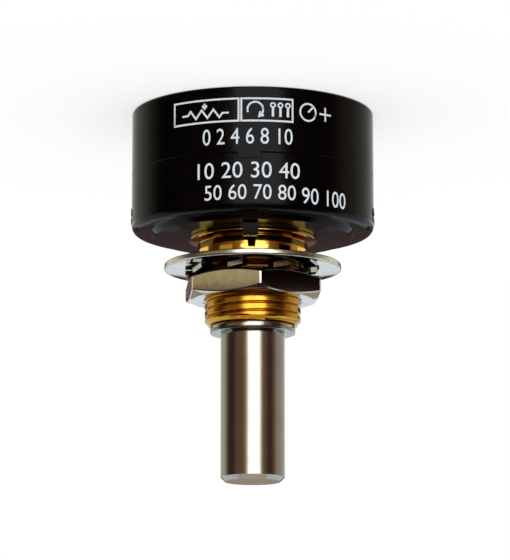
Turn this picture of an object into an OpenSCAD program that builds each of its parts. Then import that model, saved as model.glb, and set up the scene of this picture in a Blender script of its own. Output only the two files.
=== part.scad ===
// Rotary potentiometer with a threaded panel bushing, a plain shaft and its mounting hardware.
// The flat rear face lies on z = 0 and the shaft points along +Z.
// The anti-rotation lug is on the -Y side and the three terminals are on the +Y side.

/* [Case] */
// Outside diameter of the moulded case
case_d = 22.8; // [22.4:0.1:25]
// Height of the rear case, from the rear face to the seam
rear_h = 6.2; // [5.8:0.1:8]
// Height of the front case, from the seam to its flat front
front_h = 5.35; // [5.2:0.05:8]
// Thickness of the round wall
wall_t = 1.1; // [0.9:0.1:1.3]
// Thickness of the rear floor
floor_t = 1.0; // [0.8:0.1:1.4]
// Thickness of the front wall
front_t = 1.3; // [1:0.1:1.6]
// Radius of the front rim
rim_r = 0.65; // [0.3:0.05:0.9]
// Radius of the rear rim
rear_r = 0.3; // [0.1:0.05:0.6]
// Thickness of the spigot that enters the front case
spigot_t = 0.9; // [0.7:0.05:1.2]
// Height of the keys across the seam
key_h = 0.5; // [0.3:0.05:0.7]
// Width of the key on the printed side
key_w = 2.1; // [1.5:0.1:3]
// Chamfer on both edges of the seam
seam_c = 0.07; // [0.03:0.01:0.12]

/* [Front details] */
// Distance from the side of the case to the top of the raised boss
boss_inset = 2.05; // [1.6:0.05:3]
// Height of the raised boss
boss_h = 0.45; // [0.3:0.05:0.8]
// Width of the slope round the boss
boss_slope = 0.3; // [0.1:0.05:0.5]
// Distance from the edge of the boss to the lug
lug_inset = 0.9; // [0.5:0.05:1.5]
// Width of the lug
lug_w = 1.45; // [1:0.05:2.2]
// Radial thickness of the lug
lug_t = 0.9; // [0.7:0.05:1.2]
// Length of the lug above the boss
lug_h = 1.3; // [0.8:0.1:2]
// Depth of the snap notches in the sides
notch_depth = 0.2; // [0.1:0.05:0.35]
// Height of the snap notches
notch_h = 0.45; // [0.3:0.05:0.8]

/* [Bushing] */
// Outside diameter of the thread
thread_d = 9; // [8.6:0.1:9.6]
// Length of the threaded nose, from the shoulder to its end
thread_l = 5.9; // [5.7:0.1:10]
// Width of the shoulder that the panel sits on, beyond the thread
shoulder_w = 0.7; // [0.5:0.05:1.2]
// Thickness of the shoulder
shoulder_t = 1.9; // [1:0.05:2.5]
// Diameter of the neck through the front wall
neck_d = 8.1; // [7.6:0.1:8.4]
// Width of the flange that lies on the boss, beyond the thread
flange_w = 1.5; // [1:0.05:1.6]
// Thickness of the flange
flange_t = 0.3; // [0.2:0.05:0.4]
// Length of neck that shows between the flange and the shoulder
neck_l = 0.3; // [0.1:0.05:1]
// Width of the inner collar, beyond the neck
collar_w = 0.85; // [0.5:0.05:1.2]
// Thickness of the inner collar
collar_t = 0.6; // [0.4:0.05:1]
// Chamfer at the end of the thread
thread_c = 0.4; // [0.2:0.05:0.6]
// Wall of the support moulded round the collar inside the case
support_w = 1.7; // [1.2:0.1:2.4]

/* [Shaft] */
// Diameter of the shaft
shaft_d = 6; // [5.6:0.05:6.35]
// Length of shaft in front of the bushing
shaft_reach = 14.6; // [8:0.5:40]
// Chamfer at the tip
tip_c = 0.4; // [0.2:0.1:0.8]
// Diameter of the inner end that carries the hub
seat_d = 4; // [3:0.1:4.5]
// Thickness of a retaining ring
ring_t = 0.65; // [0.5:0.05:0.8]
// Outside diameter of a retaining ring
ring_d = 8; // [7.4:0.1:8.2]
// Depth of a ring groove
groove_depth = 0.3; // [0.2:0.05:0.5]
// Free width of the outer groove in front of its ring
groove_play = 0.15; // [0.02:0.01:0.3]
// Width of the opening in a retaining ring
ring_gap = 2.4; // [1.5:0.1:3.5]

/* [Mounting hardware] */
// Radial width of the flat washer
washer_w = 3.65; // [2.5:0.05:4.5]
// Thickness of the flat washer
washer_t = 0.55; // [0.4:0.05:1]
// Radial width of the lock washer's ring
lock_w = 0.55; // [0.4:0.05:0.8]
// Length of the lock washer's teeth
tooth_l = 1.1; // [0.8:0.05:1.5]
// Sheet thickness of the lock washer
lock_t = 0.45; // [0.3:0.05:0.6]
// Height of the lock washer over its twisted teeth
lock_h = 0.8; // [0.7:0.05:1]
// Number of teeth on the lock washer
lock_teeth = 9; // [7:1:12]
// Turn of the lock washer from the lug, as it was tightened
lock_turn = 26.4; // [0:0.2:60]
// Width of a tooth at its root
tooth_w = 1.7; // [1.2:0.1:2]
// Wall of the hexagon nut, from the thread to its flats
nut_wall = 1.5; // [1.2:0.05:2.5]
// Thickness of the hexagon nut
nut_t = 2.15; // [1.5:0.05:3]
// Depth of the nut's corner chamfer
nut_c = 0.46; // [0.2:0.02:0.6]
// Turn of the nut from the lug, as it was tightened
nut_turn = 7.4; // [0:0.2:60]

/* [Element] */
// Thickness of the element board
board_t = 1; // [0.8:0.1:1.3]
// Thickness of the printed tracks and pads
print_t = 0.05; // [0.03:0.01:0.08]
// Bare edge between the tracks and the middle hole of the board
track_edge = 0.5; // [0.3:0.05:0.8]
// Bare ring between the two tracks
track_space = 0.6; // [0.4:0.05:1]
// Open angle between the ends of the resistance track
open_angle = 20; // [16:1:40]
// Width of the collector's lead
lead_w = 0.8; // [0.5:0.1:1]

/* [Terminals] */
// Angle between neighbouring terminals
pin_angle = 30; // [26:1:36]
// Distance from the case wall to the middle of the eye
pin_reach = 3.5; // [2.5:0.1:6]
// Thickness of the terminal sheet
pin_t = 0.4; // [0.3:0.05:0.5]
// Width of the terminal in the wall
pin_w = 1.5; // [1.2:0.1:1.8]
// Width of the neck behind the eye
neck_w = 1.1; // [0.8:0.1:1.2]
// Radius round the eye and round the rivet
eye_r = 0.95; // [0.9:0.05:1.1]
// Distance from the rivets to the edge of the board
rivet_edge = 1; // [0.9:0.05:1.3]
// Diameter of the eye
eye_d = 1; // [0.8:0.05:1.2]
// Diameter of the rivet shank
rivet_d = 1.1; // [0.9:0.05:1.2]
// Diameter of the rivet heads
rivet_head_d = 1.7; // [1.5:0.05:1.8]
// Thickness of the rivet heads
rivet_head_t = 0.25; // [0.15:0.05:0.3]

/* [Rotor] */
// Radial clearance of the rotor hub in the spigot
hub_gap = 0.45; // [0.3:0.05:1]
// Thickness of the hub's disc
hub_t = 1.4; // [1:0.1:1.6]
// Diameter of the boss behind the disc
hub_boss_d = 6.8; // [6:0.1:8]
// Height of the boss behind the disc
hub_boss_h = 1; // [0.6:0.1:1.2]
// Thickness of the wiper carrier
carrier_t = 0.2; // [0.15:0.05:0.3]
// Thickness of a brush tine
tine_t = 0.1; // [0.08:0.01:0.15]
// Width of a brush tine
tine_w = 0.18; // [0.12:0.02:0.22]
// Distance between neighbouring tines
tine_pitch = 0.28; // [0.26:0.01:0.3]
// Length of a brush from its weld to its tip
brush_l = 3.2; // [2.4:0.1:3.6]
// Length of shaft that stands out behind the hub
shaft_stub = 0.4; // [0.2:0.1:0.6]
// Clearance between the shaft's inner end and the rear floor
floor_gap = 1.25; // [0.5:0.05:1.5]

/* [Fits] */
// Radial clearance of the shaft in the bushing
running_fit = 0.03; // [0.02:0.01:0.08]
// Clearance between a rotating face and a fixed one
face_gap = 0.05; // [0.04:0.01:0.1]
// Clearance between moulded pieces
case_gap = 0.05; // [0.03:0.01:0.1]
// Radial clearance of washers round the thread
washer_gap = 0.15; // [0.1:0.05:0.3]

/* [Hidden] */
$fn = 96;

// Radii of the round pieces
case_r = case_d / 2;
bore_r = case_r - wall_t;
spigot_r = bore_r - case_gap;
ledge_r = bore_r - 0.7;
boss_r = case_r - boss_inset;
lug_r = boss_r - lug_inset - lug_t / 2;
shaft_r = shaft_d / 2;
shaft_bore_r = shaft_r + running_fit;
thread_r = thread_d / 2;
shoulder_r = thread_r + shoulder_w;
flange_r = thread_r + flange_w;
neck_r = neck_d / 2;
collar_r = neck_r + collar_w;
support_r = collar_r + support_w;
ring_r = ring_d / 2;
groove_r = shaft_r - groove_depth;
hardware_r = thread_r + washer_gap;
flats_r = thread_r + nut_wall;
hub_r = spigot_r - spigot_t - hub_gap;

// Radii on the element board, whose tracks share the ring between its hole and the rivets
board_r = bore_r - 2 * case_gap;
hole_r = ring_r + 0.4;
rivet_r = board_r - rivet_edge;
track_out_r = rivet_r - eye_r - 0.15;
collector_in_r = hole_r + track_edge;
printed_w = track_out_r - collector_in_r - track_space;
track_w = printed_w * 8 / 13;
collector_w = printed_w - track_w;
track_r = track_out_r - track_w / 2;
collector_r = collector_in_r + collector_w / 2;

// Heights of the moulded case
seam_z = rear_h;
front_z = seam_z + front_h;
boss_z = front_z + boss_h;
front_in_z = front_z - front_t;

// Heights of the element and its terminals, from the seam up
pin_z = seam_z + key_h;
print_z = pin_z + pin_t;
board_z = print_z + print_t;
ledge_z = board_z + board_t;
spigot_z = print_z - case_gap;

// Heights of the bushing and of the hardware on it
flange_z = boss_z + flange_t;
shoulder_z = flange_z + neck_l;
seat_z = shoulder_z + shoulder_t;
nose_z = seat_z + thread_l;
lock_z = seat_z + washer_t;
nut_z = lock_z + lock_h;

// Heights of the rings and washers behind the bushing
inner_ring_z = board_z;
wave_z = inner_ring_z + ring_t;
wave_h = 0.5;
wave_t = 0.2;
thrust_z = wave_z + wave_h;
thrust_t = 0.25;
bushing_z = thrust_z + thrust_t + face_gap;

// Heights of the rotor
outer_ring_z = nose_z + face_gap;
tip_z = nose_z + shaft_reach;
brush_top_z = print_z - face_gap;
shaft_end_z = floor_t + floor_gap;
hub_z = shaft_end_z + shaft_stub + hub_boss_h;
carrier_z = hub_z + hub_t;
brush_rise = brush_top_z - carrier_z - carrier_t;

// Colours
black = [0.045, 0.045, 0.05];
brass = [0.85, 0.66, 0.3];
steel = [0.72, 0.72, 0.72];
nickel = [0.78, 0.77, 0.72];
gold = [0.95, 0.78, 0.35];
phenolic = [0.45, 0.27, 0.13];

// A tube from z = 0 up
module tube(outer_r, inner_r, height) {
    difference() {
        cylinder(r = outer_r, h = height);
        translate([0, 0, -1])
            cylinder(r = inner_r, h = height + 2);
    }
}

// Points of a quarter round, from the angle given and 90 degrees on
function round_points(centre, radius, start, steps = 6) =
    [for (i = [0:steps]) centre + radius * [cos(start + 90 * i / steps), sin(start + 90 * i / steps)]];

// A flat ring sector between two angles from +Y, turning towards -X
module sector(outer_r, inner_r, from_a, to_a, height) {
    steps = max(2, ceil((to_a - from_a) / 6));
    reach = outer_r / cos(3) + 0.5;
    wedge = [for (i = [0:steps]) let (a = 90 + from_a + (to_a - from_a) * i / steps) reach * [cos(a), sin(a)]];
    intersection() {
        tube(outer_r, inner_r, height);
        linear_extrude(height)
            polygon(concat([[0, 0]], wedge));
    }
}

// Places its children at the rivet of each terminal
module at_rivets() {
    for (side = [-1:1])
        rotate([0, 0, 90 + side * pin_angle])
            translate([rivet_r, 0, 0])
                children();
}

// A block across the wall, centred on the +X side
module wall_block(width, inner_r, height) {
    translate([inner_r, -width / 2, 0])
        cube([case_r + 1 - inner_r, width, height]);
}

// Rear half of the case: a cup with a spigot and four keys that cross the seam
module rear_case() {
    key_root = 0.5;
    spigot_root = 1;
    spigot_taper = 0.8;
    wall = concat(
        [[0, 0]],
        round_points([case_r - rear_r, rear_r], rear_r, -90),
        [
            [case_r, seam_z - seam_c],
            [case_r - seam_c, seam_z],
            [spigot_r, seam_z],
            [spigot_r, spigot_z - 0.15],
            [spigot_r - 0.15, spigot_z],
            [spigot_r - spigot_t, spigot_z],
            [spigot_r - spigot_t, seam_z - spigot_root],
            [bore_r, seam_z - spigot_root - spigot_taper],
            [bore_r, floor_t],
            [0, floor_t]
        ]
    );
    color(black) {
        difference() {
            rotate_extrude()
                polygon(wall);
            // Slots in the spigot for the inner ends of the terminals
            for (side = [-1:1])
                rotate([0, 0, 90 + side * pin_angle])
                    translate([spigot_r - spigot_t - 1, -eye_r - 0.15, seam_z])
                        cube([spigot_t + 1.5, 2 * eye_r + 0.3, spigot_z]);
        }
        translate([0, 0, seam_z - key_root])
            intersection() {
                cylinder(r = case_r, h = key_h + key_root);
                union() {
                    rotate([0, 0, -90])
                        wall_block(key_w, bore_r, key_h + key_root);
                    for (side = [-1:1])
                        rotate([0, 0, 90 + side * pin_angle])
                            wall_block(pin_w, bore_r, key_h + key_root);
                }
            }
    }
}

// Front half of the case: a cap with the bushing's support, a raised boss, a lug and side notches
module front_case() {
    shell = concat(
        [
            [neck_r, boss_z],
            [neck_r, bushing_z + collar_t],
            [collar_r, bushing_z + collar_t],
            [collar_r, bushing_z],
            [support_r, bushing_z],
            [support_r, front_in_z],
            [ledge_r, front_in_z],
            [ledge_r, ledge_z],
            [bore_r, ledge_z],
            [bore_r, seam_z],
            [case_r - seam_c, seam_z],
            [case_r, seam_z + seam_c]
        ],
        round_points([case_r - rim_r, front_z - rim_r], rim_r, 0),
        [
            [boss_r + boss_slope, front_z],
            [boss_r, boss_z - 0.06],
            [boss_r - 0.06, boss_z]
        ]
    );
    notch_z = front_z - 1.55;
    color(black) {
        difference() {
            union() {
                rotate_extrude()
                    polygon(shell);
                side_ridges(notch_z);
            }
            // Notch round the key on the printed side
            rotate([0, 0, -90])
                translate([0, 0, seam_z - 1])
                    wall_block(key_w + 2 * case_gap, bore_r - 0.5, key_h + 1 + case_gap);
            // Slots for the terminals and the keys under them
            for (side = [-1:1])
                rotate([0, 0, 90 + side * pin_angle])
                    translate([0, 0, seam_z - 1])
                        wall_block(pin_w + 2 * case_gap, bore_r - 0.5, key_h + pin_t + 1 + case_gap);
            // Pockets in the ledge for the rivet heads
            translate([0, 0, ledge_z - 0.5])
                at_rivets()
                    cylinder(d = rivet_head_d + 0.4, h = rivet_head_t + 0.7, $fn = 48);
            // Snap notches on both sides
            for (side = [0, 180])
                rotate([0, 0, side])
                    translate([case_r - notch_depth, -case_r / 2, notch_z - notch_h / 2])
                        cube([2 * notch_depth, case_r, notch_h]);
        }
        lug();
    }
}

// Low ridges above and below each snap notch
module side_ridges(notch_z) {
    proud = 0.07;
    ridge_h = 0.4;
    for (side = [0, 180], edge = [-1, 1])
        rotate([0, 0, side])
            translate([0, 0, notch_z + edge * (notch_h + ridge_h) / 2 - ridge_h / 2])
                intersection() {
                    tube(case_r + proud, case_r - 0.4, ridge_h);
                    translate([case_r - 1, -1.5, 0])
                        cube([2, 3, ridge_h]);
                }
}

// Anti-rotation lug, with its outer edges broken
module lug() {
    c = 0.12;
    side = [
        [-lug_t / 2, -0.3],
        [lug_t / 2, -0.3],
        [lug_t / 2, lug_h - c],
        [lug_t / 2 - c, lug_h],
        [-lug_t / 2 + c, lug_h],
        [-lug_t / 2, lug_h - c]
    ];
    translate([0, -lug_r, boss_z])
        rotate([90, 0, 90])
            translate([0, 0, -lug_w / 2])
                linear_extrude(lug_w)
                    polygon(side);
}

// Turned brass bushing, with two bearing lands and a grease space between them
module bushing() {
    land_l = 3;
    relief = 0.25;
    turned = [
        [shaft_bore_r, bushing_z],
        [collar_r, bushing_z],
        [collar_r, bushing_z + collar_t],
        [neck_r, bushing_z + collar_t],
        [neck_r, boss_z],
        [flange_r, boss_z],
        [flange_r, flange_z],
        [neck_r, flange_z],
        [neck_r, shoulder_z],
        [shoulder_r - 0.15, shoulder_z],
        [shoulder_r, shoulder_z + 0.15],
        [shoulder_r, seat_z],
        [thread_r, seat_z],
        [thread_r, nose_z - thread_c],
        [thread_r - thread_c, nose_z],
        [shaft_bore_r + relief, nose_z],
        [shaft_bore_r, nose_z - relief],
        [shaft_bore_r, nose_z - land_l],
        [shaft_bore_r + relief, nose_z - land_l - relief],
        [shaft_bore_r + relief, bushing_z + land_l + relief],
        [shaft_bore_r, bushing_z + land_l]
    ];
    color(brass)
        rotate_extrude()
            polygon(turned);
}

// Turned shaft, with a groove for each retaining ring and a smaller seat for the hub
module shaft() {
    play = 0.02;
    turned = [
        [0, shaft_end_z],
        [seat_d / 2 - 0.2, shaft_end_z],
        [seat_d / 2, shaft_end_z + 0.2],
        [seat_d / 2, carrier_z],
        [shaft_r - 0.2, carrier_z],
        [shaft_r, carrier_z + 0.2],
        [shaft_r, inner_ring_z - play],
        [groove_r, inner_ring_z - play],
        [groove_r, wave_z + play],
        [shaft_r, wave_z + play],
        [shaft_r, outer_ring_z - play],
        [groove_r, outer_ring_z - play],
        [groove_r, outer_ring_z + ring_t + groove_play],
        [shaft_r, outer_ring_z + ring_t + groove_play],
        [shaft_r, tip_z - tip_c],
        [shaft_r - tip_c, tip_z],
        [0, tip_z]
    ];
    color(steel)
        rotate_extrude()
            polygon(turned);
}

// Retaining ring, open towards +Y
module retaining_ring() {
    color(steel)
        difference() {
            tube(ring_r, groove_r, ring_t);
            translate([-ring_gap / 2, 0, -1])
                cube([ring_gap, ring_d, ring_t + 2]);
        }
}

// Ring in front of the bushing
module outer_ring() {
    translate([0, 0, outer_ring_z])
        retaining_ring();
}

// Ring behind the bushing
module inner_ring() {
    translate([0, 0, inner_ring_z])
        retaining_ring();
}

// Flat washer that runs against the bushing
module thrust_washer() {
    color(brass)
        translate([0, 0, thrust_z])
            tube(hole_r, shaft_r + 0.05, thrust_t);
}

// Spring washer with three waves
module wave_washer() {
    steps = 72;
    waves = 3;
    rise = wave_h - wave_t - 0.02;
    section = [
        [shaft_r + 0.1, 0],
        [ring_r + 0.2, 0],
        [ring_r + 0.2, wave_t],
        [shaft_r + 0.1, wave_t]
    ];
    points = [
        for (i = [0:steps - 1], p = section)
            let (a = 360 * i / steps, lift = 0.01 + rise * (1 + cos(waves * a)) / 2)
                [p.x * cos(a), p.x * sin(a), p.y + lift]
    ];
    faces = [
        for (i = [0:steps - 1], k = [0:3])
            let (
                a = 4 * i + k,
                b = 4 * i + (k + 1) % 4,
                c = 4 * ((i + 1) % steps) + (k + 1) % 4,
                d = 4 * ((i + 1) % steps) + k
            )
                each [[a, b, c], [a, c, d]]
    ];
    color(steel)
        translate([0, 0, wave_z])
            polyhedron(points, faces);
}

// Angles of the three stakes that hold the wiper carrier
stake_angles = [-150, -90, -30];
stake_ring = hub_r - 1.1;
stake_r = 0.5;

// Moulded hub, with ribs behind its disc and stakes in front
module rotor_hub() {
    rib_w = 0.8;
    rib_h = 0.6;
    ribs = 6;
    color([0.16, 0.16, 0.17])
        difference() {
            union() {
                translate([0, 0, hub_z])
                    cylinder(r = hub_r, h = hub_t);
                translate([0, 0, hub_z - hub_boss_h])
                    cylinder(d = hub_boss_d, h = hub_boss_h);
                for (i = [0:ribs - 1])
                    rotate([0, 0, 360 * i / ribs])
                        translate([seat_d / 2 + 0.5, -rib_w / 2, hub_z - rib_h])
                            cube([hub_r - seat_d / 2 - 1.2, rib_w, rib_h + 0.1]);
                for (a = stake_angles)
                    rotate([0, 0, a])
                        translate([stake_ring, 0, carrier_z - 0.1])
                            cylinder(r = stake_r, h = carrier_t + 0.3, $fn = 32);
            }
            translate([0, 0, hub_z - hub_boss_h - 1])
                cylinder(d = seat_d, h = hub_t + hub_boss_h + 2);
        }
}

// Stamped plate under the brushes, with a ring round the shaft
module wiper_carrier() {
    color([0.8, 0.72, 0.5])
        translate([0, 0, carrier_z])
            difference() {
                union() {
                    tube(shaft_r + 1.4, shaft_r + 0.1, carrier_t);
                    sector(hub_r - 0.3, shaft_r + 0.1, 110, 250, carrier_t);
                }
                for (a = stake_angles)
                    rotate([0, 0, a])
                        translate([stake_ring, 0, -1])
                            cylinder(r = stake_r, h = carrier_t + 2, $fn = 32);
            }
}

// A row of tines with one foot, which is welded to the carrier. The tips run on the track
module brush(middle_r, tines) {
    rise = brush_rise;
    tip_x = -0.9;
    foot_l = 1;
    tip = 0.35;
    row_w = (tines - 1) * tine_pitch + tine_w;
    side = [
        [brush_l + foot_l, 0],
        [brush_l + foot_l, tine_t],
        [brush_l, tine_t],
        [tip, rise - 0.02],
        [0.12, rise],
        [-0.12, rise],
        [-tip, rise - 0.2],
        [-tip + 0.06, rise - 0.28],
        [-0.1, rise - tine_t],
        [0.1, rise - tine_t],
        [tip - 0.04, rise - 0.02 - tine_t],
        [brush_l - 0.08, 0]
    ];
    color([0.9, 0.86, 0.72])
        translate([tip_x, -middle_r, carrier_z + carrier_t])
            union() {
                for (i = [0:tines - 1])
                    translate([0, (i - (tines - 1) / 2) * tine_pitch + tine_w / 2, 0])
                        rotate([90, 0, 0])
                            linear_extrude(tine_w)
                                polygon(side);
                translate([brush_l, -row_w / 2, 0])
                    cube([foot_l, row_w, tine_t]);
            }
}

// Tines that run on the resistance track
module track_brush() {
    brush(track_r, 5);
}

// Tines that run on the collector track
module collector_brush() {
    brush(collector_r, 3);
}

// Disc that carries the printed tracks on its rear face
module element_board() {
    color(phenolic)
        translate([0, 0, board_z])
            difference() {
                tube(board_r, hole_r, board_t);
                translate([0, 0, -1])
                    at_rivets()
                        cylinder(d = rivet_d, h = board_t + 2, $fn = 48);
            }
}

// Angle from +Y to each end of the resistance track
track_end = open_angle / 2;

// A drop of print on the board, cut round the rivets
module printed(tone) {
    color(tone)
        translate([0, 0, print_z])
            difference() {
                children();
                translate([0, 0, -1])
                    at_rivets()
                        cylinder(d = rivet_d, h = print_t + 2, $fn = 48);
            }
}

// Arc of conductive plastic
module resistance_track() {
    printed([0.06, 0.06, 0.06])
        sector(track_out_r, track_out_r - track_w, track_end, 360 - track_end, print_t);
}

// Full ring under the collector brush, with a lead through the gap of the resistance track
module collector_track() {
    printed([0.75, 0.75, 0.72])
        union() {
            tube(collector_in_r + collector_w, collector_in_r, print_t);
            translate([-lead_w / 2, collector_r, 0])
                cube([lead_w, rivet_r - collector_r, print_t]);
            translate([0, rivet_r, 0])
                cylinder(r = eye_r, h = print_t, $fn = 48);
        }
}

// Lead from one end of the resistance track to its rivet: side 1 is towards -X and side -1 towards +X
module end_pad(side) {
    turn = 4;
    outer = rivet_r + eye_r - 0.1;
    from_a = track_end - turn;
    to_a = pin_angle + 7;
    mirror([side < 0 ? 1 : 0, 0, 0])
        printed([0.75, 0.75, 0.72])
            union() {
                sector(outer, track_out_r - track_w, from_a, track_end, print_t);
                sector(outer, track_out_r + 0.25, from_a, to_a, print_t);
            }
}

// Lead to terminal 1, on the -X side
module end_pad_1() {
    end_pad(1);
}

// Lead to terminal 3, on the +X side
module end_pad_3() {
    end_pad(-1);
}

// Solder lug that leaves the case along its own radius: side 1 is towards -X and side -1 towards +X
module terminal(side) {
    eye_x = case_r + pin_reach;
    color(gold)
        rotate([0, 0, 90 + side * pin_angle])
            translate([0, 0, pin_z])
                difference() {
                    linear_extrude(pin_t)
                        union() {
                            translate([rivet_r, 0])
                                circle(r = eye_r, $fn = 48);
                            translate([rivet_r, -pin_w / 2])
                                square([case_r + 0.6 - rivet_r, pin_w]);
                            translate([case_r, -neck_w / 2])
                                square([eye_x - case_r, neck_w]);
                            translate([eye_x, 0])
                                circle(r = eye_r, $fn = 48);
                        }
                    translate([eye_x, 0, -1])
                        cylinder(d = eye_d, h = pin_t + 2, $fn = 48);
                    translate([rivet_r, 0, -1])
                        cylinder(d = rivet_d, h = pin_t + 2, $fn = 48);
                }
}

// Start of the track
module terminal_1() {
    terminal(1);
}

// Wiper
module terminal_2() {
    terminal(0);
}

// End of the track
module terminal_3() {
    terminal(-1);
}

// Tubular rivets through lug, print and board
module terminal_rivets() {
    low = pin_z - rivet_head_t;
    color(brass)
        at_rivets()
            difference() {
                union() {
                    translate([0, 0, low])
                        cylinder(d = rivet_d, h = ledge_z + 2 * rivet_head_t - pin_z, $fn = 48);
                    translate([0, 0, low])
                        cylinder(d = rivet_head_d, h = rivet_head_t, $fn = 48);
                    translate([0, 0, ledge_z])
                        cylinder(d = rivet_head_d, h = rivet_head_t, $fn = 48);
                }
                translate([0, 0, low - 1])
                    cylinder(d = rivet_d / 2, h = ledge_z - low + 3, $fn = 48);
            }
}

// Flat washer against the panel
module flat_washer() {
    e = 0.08;
    outer = hardware_r + washer_w;
    section = [
        [hardware_r, 0],
        [outer - e, 0],
        [outer, e],
        [outer, washer_t - e],
        [outer - e, washer_t],
        [hardware_r, washer_t]
    ];
    color(nickel)
        translate([0, 0, seat_z])
            rotate_extrude()
                polygon(section);
}

// Lock washer: a flat ring whose outside teeth are twisted until they fill its height
module lock_washer() {
    root_r = hardware_r + lock_w;
    outer_r = root_r + tooth_l;
    tip_w = tooth_w * 0.85;
    play = 0.02;
    twist = asin((lock_h - play) / norm([tooth_w, lock_t])) - atan(lock_t / tooth_w);
    tooth = [
        [root_r - 0.15, -tooth_w / 2],
        [outer_r, -tip_w / 2],
        [outer_r, tip_w / 2],
        [root_r - 0.15, tooth_w / 2]
    ];
    color(nickel)
        translate([0, 0, lock_z + lock_h / 2]) {
            translate([0, 0, -lock_t / 2])
                tube(root_r, hardware_r, lock_t);
            for (i = [0:lock_teeth - 1])
                rotate([0, 0, 360 * i / lock_teeth - 90 - lock_turn])
                    rotate([twist, 0, 0])
                        translate([0, 0, -lock_t / 2])
                            linear_extrude(lock_t)
                                polygon(tooth);
        }
}

// Hexagon nut, chamfered on both faces
module hex_nut() {
    corner_r = flats_r / cos(30);
    face_r = flats_r - 0.15;
    lead = 0.2;
    envelope = [
        [0, 0],
        [face_r, 0],
        [corner_r, nut_c],
        [corner_r, nut_t - nut_c],
        [face_r, nut_t],
        [0, nut_t]
    ];
    drill = [
        [0, -1],
        [thread_r + lead, -1],
        [thread_r + lead, 0],
        [thread_r, lead],
        [thread_r, nut_t - lead],
        [thread_r + lead, nut_t],
        [thread_r + lead, nut_t + 1],
        [0, nut_t + 1]
    ];
    color(nickel)
        translate([0, 0, nut_z])
            difference() {
                intersection() {
                    rotate([0, 0, -90 - nut_turn])
                        cylinder(r = corner_r + 0.001, h = nut_t, $fn = 6);
                    rotate_extrude()
                        polygon(envelope);
                }
                rotate_extrude()
                    polygon(drill);
            }
}

rear_case();
front_case();
bushing();
shaft();
outer_ring();
inner_ring();
thrust_washer();
wave_washer();
rotor_hub();
wiper_carrier();
track_brush();
collector_brush();
element_board();
resistance_track();
collector_track();
end_pad_1();
end_pad_3();
terminal_1();
terminal_2();
terminal_3();
terminal_rivets();
flat_washer();
lock_washer();
hex_nut();
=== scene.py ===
import math

import bmesh
import bpy
from bpy.props import FloatProperty, FloatVectorProperty, PointerProperty
from mathutils import Matrix, Vector


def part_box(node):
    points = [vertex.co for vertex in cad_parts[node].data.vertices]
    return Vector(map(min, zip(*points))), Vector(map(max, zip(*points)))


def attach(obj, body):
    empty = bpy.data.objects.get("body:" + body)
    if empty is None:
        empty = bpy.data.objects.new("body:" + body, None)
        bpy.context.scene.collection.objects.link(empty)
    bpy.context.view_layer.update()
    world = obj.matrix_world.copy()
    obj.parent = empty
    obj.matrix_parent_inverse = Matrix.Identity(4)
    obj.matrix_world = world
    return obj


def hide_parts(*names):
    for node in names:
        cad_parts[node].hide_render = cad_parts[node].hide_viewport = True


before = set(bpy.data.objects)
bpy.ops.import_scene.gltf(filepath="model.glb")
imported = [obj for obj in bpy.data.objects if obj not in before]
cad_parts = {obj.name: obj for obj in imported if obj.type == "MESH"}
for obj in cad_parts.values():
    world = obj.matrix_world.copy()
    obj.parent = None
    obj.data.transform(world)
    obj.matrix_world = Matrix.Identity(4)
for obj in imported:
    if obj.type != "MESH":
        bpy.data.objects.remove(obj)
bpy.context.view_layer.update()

bl_info = {
    "name": "Rotary potentiometer",
    "version": (1, 0, 0),
    "blender": (4, 5, 0),
    "location": "3D View > Sidebar > Potentiometer",
    "description": "Dresses a panel-mount rotary potentiometer and sets up its studio",
    "category": "Object",
}

MM = 0.001

# Vertices closer than this, in metres, are one
WELD_GAP = 1e-7

# Steps round the two turned pieces, round the floor and along a card
BUSHING_STEPS = 144
WASHER_STEPS = 192
FLOOR_STEPS = 96
CARD_STEPS = 12

# Places that the frame gives
CASE_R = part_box("rear_case")[1].x
SEAT_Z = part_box("flat_washer")[0].z
BUSHING_Z = (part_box("bushing")[0].z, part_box("bushing")[1].z)
WASHER_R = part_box("flat_washer")[1].x
WASHER_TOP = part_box("flat_washer")[1].z


def length(name, description, default):
    """A length that the panel shows in the scene's own units."""
    return FloatProperty(
        name=name,
        description=description,
        default=default,
        unit="LENGTH",
        subtype="DISTANCE",
        precision=5,
    )


def angle(name, description, degrees):
    """An angle that the panel shows in degrees."""
    return FloatProperty(
        name=name, description=description, default=math.radians(degrees), subtype="ANGLE"
    )


def share(name, description, default, top=1.0):
    """A plain factor."""
    return FloatProperty(name=name, description=description, default=default, min=0.0, max=top)


def colour(name, description, default):
    """A colour in linear light."""
    return FloatVectorProperty(
        name=name,
        description=description,
        default=default,
        subtype="COLOR",
        size=3,
        min=0.0,
        max=4.0,
    )


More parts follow.
